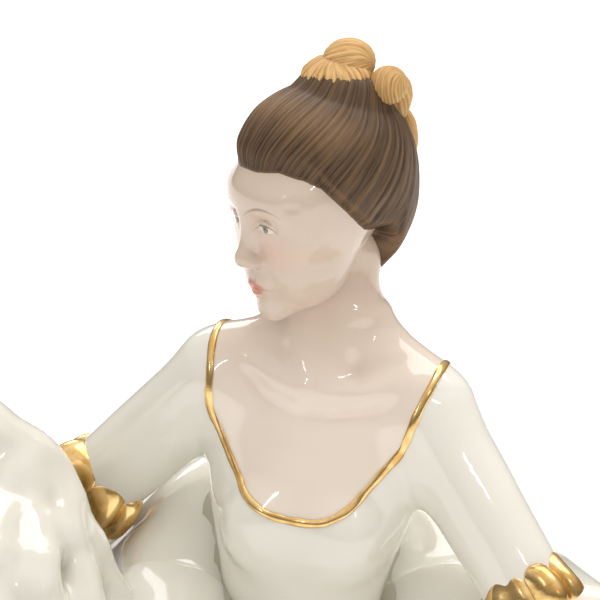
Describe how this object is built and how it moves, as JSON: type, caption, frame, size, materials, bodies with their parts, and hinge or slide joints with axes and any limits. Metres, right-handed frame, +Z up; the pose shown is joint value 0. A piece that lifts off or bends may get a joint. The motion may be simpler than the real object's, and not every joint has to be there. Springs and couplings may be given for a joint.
{
  "type": "porcelain figurine",
  "caption": "Glazed porcelain figurine of a lady in a deep curtsy, with a wide flounced gown, gilt neckline and cuffs, and a rolled topknot.",
  "frame": {"origin": "on the ground, under the middle of the skirt's hem", "axes": "+Z up, the lady faces -Y, her left hand is on the +X side, and the skirt is widest along X"},
  "size_m": [0.192, 0.152, 0.1602],
  "materials": {
    "white_glaze": "glossy white glaze",
    "flesh_glaze": "glossy flesh-tinted glaze",
    "bisque": "unglazed, rubbed smooth",
    "burnished_gold": "burnished gold over modelled porcelain",
    "brown_hair": "matt enamel with scratched strands",
    "blond_hair": "matt enamel with brushed strands"
  },
  "bodies": {
    "root": {"foot_plate": "bisque", "petticoat_frill": "white_glaze", "skirt_shell": "white_glaze", "back_billow": "white_glaze", "raised_swag": "white_glaze", "side_swag": "white_glaze", "bodice": "white_glaze", "shoulder_yoke": "flesh_glaze", "neckline_braid": "burnished_gold", "neck": "flesh_glaze", "head": "flesh_glaze", "right_sleeve": "white_glaze", "left_sleeve": "white_glaze", "right_cuff": "burnished_gold", "left_cuff": "burnished_gold", "right_forearm": "flesh_glaze", "left_forearm": "flesh_glaze", "right_hand": "flesh_glaze", "left_hand": "flesh_glaze", "hair_cap": "brown_hair", "front_roll": "blond_hair", "crown_curl": "blond_hair", "left_curl": "blond_hair", "right_curl": "blond_hair", "back_curl": "blond_hair", "nape_curl": "blond_hair"}
  },
  "joints": []
}
